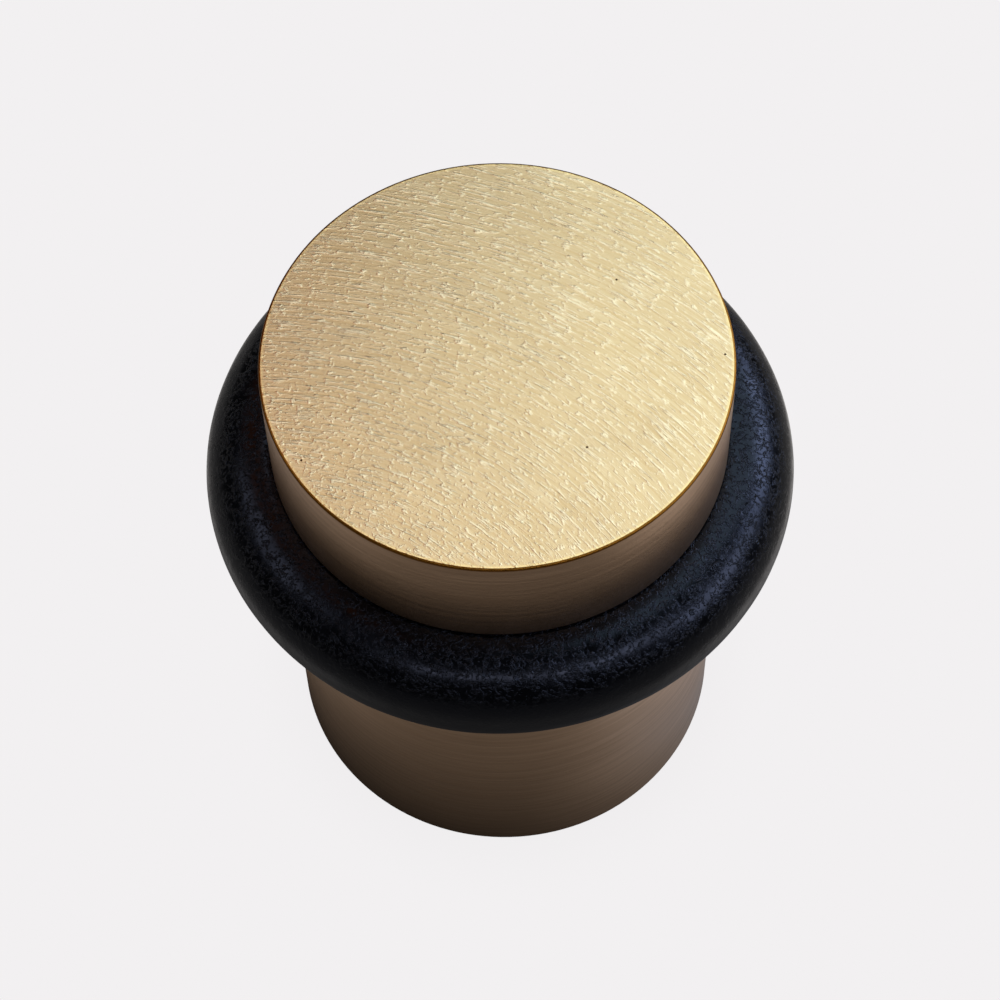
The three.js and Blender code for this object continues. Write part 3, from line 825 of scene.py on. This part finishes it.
def paintedTableGlow():
    # a glowing card of painted light and shade: what the satin sides mirror below them
    look = tableLook
    material, tree, inMm = newMaterial("paintedTableGlow")
    out = addNode(tree, "ShaderNodeVectorMath", {0: inMm}, operation="LENGTH").outputs["Value"]
    place = addNode(tree, "ShaderNodeSeparateXYZ", {0: inMm})
    way = addNode(tree, "ShaderNodeSeparateXYZ",
                  {0: addNode(tree, "ShaderNodeVectorMath", {0: inMm}, operation="NORMALIZE")})
    beside = addNode(tree, "ShaderNodeMapRange",
                     {"Value": way.outputs[0], "From Min": -1.0, "From Max": 1.0,
                      "To Min": look["left"], "To Max": look["right"]})
    notFront = addNode(tree, "ShaderNodeMapRange",
                       {"Value": way.outputs[1], "From Min": -1.0, "From Max": -0.1},
                       interpolation_type="SMOOTHSTEP")
    farOut = addNode(tree, "ShaderNodeMapRange",
                     {"Value": out, "From Min": look["sidesFrom"], "From Max": look["sidesTo"]})
    fade = addNode(tree, "ShaderNodeMapRange",
                   {"Value": out, "From Min": look["fadeFrom"], "From Max": look["fadeTo"],
                    "To Min": 1.0, "To Max": look["fadeShare"]})
    band = addNode(tree, "ShaderNodeMath", {0: farOut, 1: fade}, operation="MULTIPLY")
    sides = addNode(tree, "ShaderNodeMath", {0: notFront, 1: band}, operation="MULTIPLY")
    away = addNode(tree, "ShaderNodeMapRange",
                   {"Value": sides, "To Min": look["front"], "To Max": beside})
    # painted shade: the glow darkens close to the post
    nearShare = addNode(tree, "ShaderNodeMapRange",
                        {"Value": out, "From Min": look["nearFrom"], "From Max": look["nearTo"],
                         "To Min": look["nearShare"]})
    # painted light: a window's light grows towards the right, close by
    across = addNode(tree, "ShaderNodeMapRange",
                     {"Value": place.outputs[0], "From Min": look["windowFrom"],
                      "From Max": look["windowTo"]})
    steep = addNode(tree, "ShaderNodeMath", {0: across, 1: look["steepness"]}, operation="POWER")
    window = addNode(tree, "ShaderNodeMath", {0: steep, 1: look["window"], 2: -look["leftLoss"]},
                     operation="MULTIPLY_ADD")
    closeBy = addNode(tree, "ShaderNodeMapRange",
                      {"Value": out, "From Min": look["closeFrom"], "From Max": look["closeTo"],
                       "To Min": 1.0, "To Max": 0.0})
    added = addNode(tree, "ShaderNodeMath", {0: window, 1: closeBy}, operation="MULTIPLY")
    level = addNode(tree, "ShaderNodeMath", {0: away, 1: nearShare, 2: added}, operation="MULTIPLY_ADD")
    cooler = addNode(tree, "ShaderNodeMath", {0: steep, 1: closeBy}, operation="MULTIPLY")
    colour = addNode(tree, "ShaderNodeMix", {0: cooler, 6: linear(look["warm"]), 7: linear(look["cool"])},
                     data_type="RGBA")
    glow = addNode(tree, "ShaderNodeEmission", {"Color": colour.outputs[2], "Strength": level})
    addNode(tree, "ShaderNodeOutputMaterial", {"Surface": glow})
    return material


# the glowing card of painted light lies just under the floor, out of the camera's sight
table = stagePiece("paintedTableGlow", paintedTableGlow(),
                   lambda made: bmesh.ops.create_circle(made, cap_ends=True, segments=64,
                                                        radius=tableLook["reach"]),
                   -tableLook["drop"] * mm)
table.visible_camera = False


def addLight(name, place, size, radiance, hexColour, aim=(0, 0, 0.03)):
    # radiance is how bright the lamp's face is, where 1 shows as white
    data = bpy.data.lights.new(name, "AREA")
    data.shape, data.size, data.size_y = "RECTANGLE", size[0], size[1]
    data.energy, data.color = radiance * math.pi * size[0] * size[1], linear(hexColour)[:3]
    lamp = bpy.data.objects.new(name, data)
    lamp.location = place
    lamp.rotation_mode = "QUATERNION"
    lamp.rotation_quaternion = (Vector(aim) - Vector(place)).to_track_quat("-Z", "Y")
    bpy.context.scene.collection.objects.link(lamp)


addLight("softboxWarm", (-0.105, 0.14, 0.31), (0.15, 0.26), 0.37, "#ff8c28")
addLight("softboxCool", (0.096, 0.138, 0.305), (0.245, 0.3), 1.84, "#ddf3ff")
addLight("windowRight", (0.64, 0.36, 0.44), (0.5, 0.32), 8.2, "#bccaec")
addLight("windowFront", (0.6, -0.12, 0.38), (0.45, 0.2), 6.0, "#c8d0e8")
addLight("stripRight", (0.3, -0.3, 0.44), (0.3, 0.12), 4.8, "#d4d8ea")
addLight("stripFront", (-0.04, -0.37, 0.47), (0.5, 0.07), 4.4, "#dcdce8")
addLight("fillLeft", (-0.5, 0.1, 0.55), (0.35, 0.3), 1.8, "#e8e8f4")

# (share of the way from straight down to straight up, brightness): a dim room
worldLook = [(0.0, 0.05), (0.45, 0.04), (0.55, 0.03), (0.75, 0.03), (1.0, 0.04)]


def addWorld():
    world = bpy.data.worlds.new("room")
    world.use_nodes = True
    tree = world.node_tree
    tree.nodes.clear()
    way = addNode(tree, "ShaderNodeTexCoord").outputs["Generated"]
    split = addNode(tree, "ShaderNodeSeparateXYZ", {0: way})
    up = addNode(tree, "ShaderNodeMapRange", {"Value": split.outputs[2], "From Min": -1.0, "From Max": 1.0})
    ramp = addNode(tree, "ShaderNodeValToRGB", {0: up})
    for position, _ in worldLook[1:-1]:
        ramp.color_ramp.elements.new(position)
    for element, (position, level) in zip(ramp.color_ramp.elements, worldLook):
        element.position, element.color = position, (level, level, level, 1.0)
    sky = addNode(tree, "ShaderNodeBackground", {"Color": ramp, "Strength": 1.0})
    addNode(tree, "ShaderNodeOutputWorld", {"Surface": sky})
    bpy.context.scene.world = world


addWorld()
bpy.context.scene.view_settings.view_transform = "Standard"

# degrees, and mm for the distance, the lens and the height aimed at
cameraSizes = {"elevation": 61.4, "distance": 201.2, "lens": 105.05, "roll": -1.63, "raise": 0.367,
               "yaw": 0.03, "aimHeight": 21.0}


def addCamera():
    size = cameraSizes
    up = math.radians(size["elevation"])
    back = Vector((0, -math.cos(up), math.sin(up)))
    data = bpy.data.cameras.new("camera")
    data.lens, data.sensor_width = size["lens"], 36
    data.clip_start, data.clip_end = 0.01, 20
    camera = bpy.data.objects.new("camera", data)
    camera.location = Vector((0, 0, size["aimHeight"] * mm)) + back * size["distance"] * mm
    turn = (-back).to_track_quat("-Z", "Y").to_matrix()
    turn = turn @ Matrix.Rotation(math.radians(size["roll"]), 3, "Z")
    turn = turn @ Matrix.Rotation(math.radians(size["raise"]), 3, "X")
    turn = turn @ Matrix.Rotation(math.radians(size["yaw"]), 3, "Y")
    camera.rotation_mode = "QUATERNION"
    camera.rotation_quaternion = turn.to_quaternion()
    bpy.context.scene.collection.objects.link(camera)
    bpy.context.scene.camera = camera


addCamera()
print("stage, lights and camera set")
